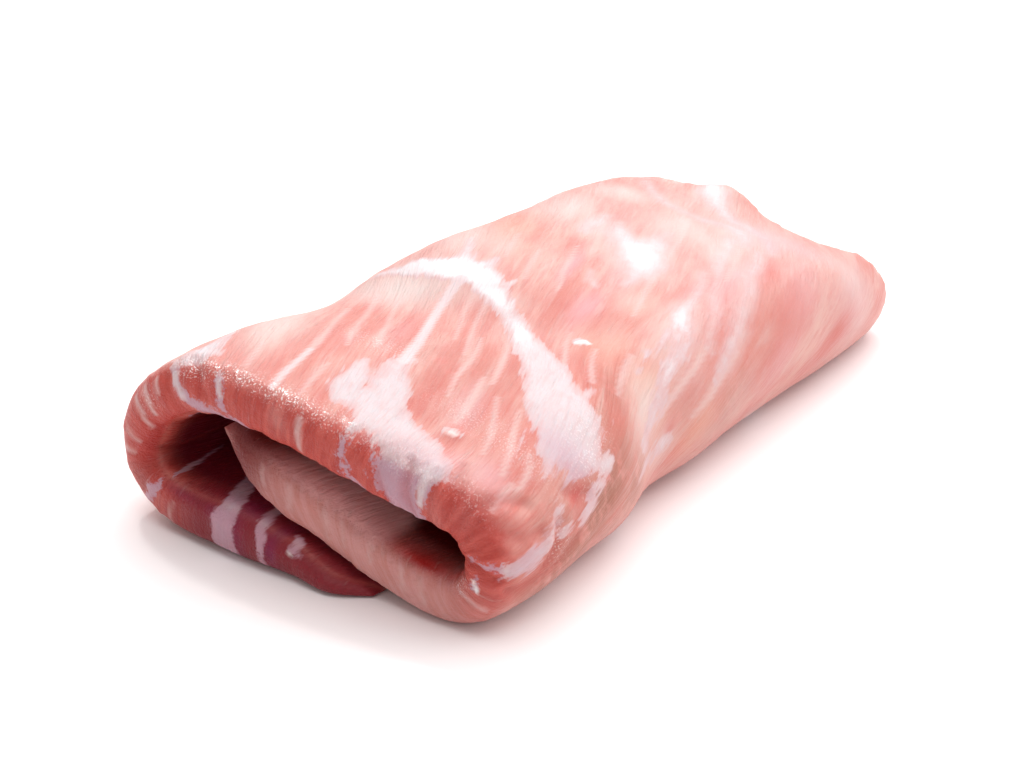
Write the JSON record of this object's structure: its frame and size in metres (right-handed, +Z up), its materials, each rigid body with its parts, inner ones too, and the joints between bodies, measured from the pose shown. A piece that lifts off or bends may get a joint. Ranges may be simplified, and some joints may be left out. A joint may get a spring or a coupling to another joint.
{
  "type": "pork flank steak",
  "caption": "Raw pork flank steak, a flat sheet of meat folded in three like a letter, with both flaps tucked underneath and hollow folds open at the ends.",
  "frame": {"origin": "on the surface it lies on, under the middle of its bounding box", "axes": "+Z up; +Y along the folds, away from the end that shows both hollows; +X towards the tighter fold"},
  "size_m": [0.0974, 0.1876, 0.0401],
  "materials": {
    "raw_pork": "moist raw meat with pale fat streaks, satin"
  },
  "bodies": {
    "root": {"flank_steak": "raw_pork"}
  },
  "joints": []
}
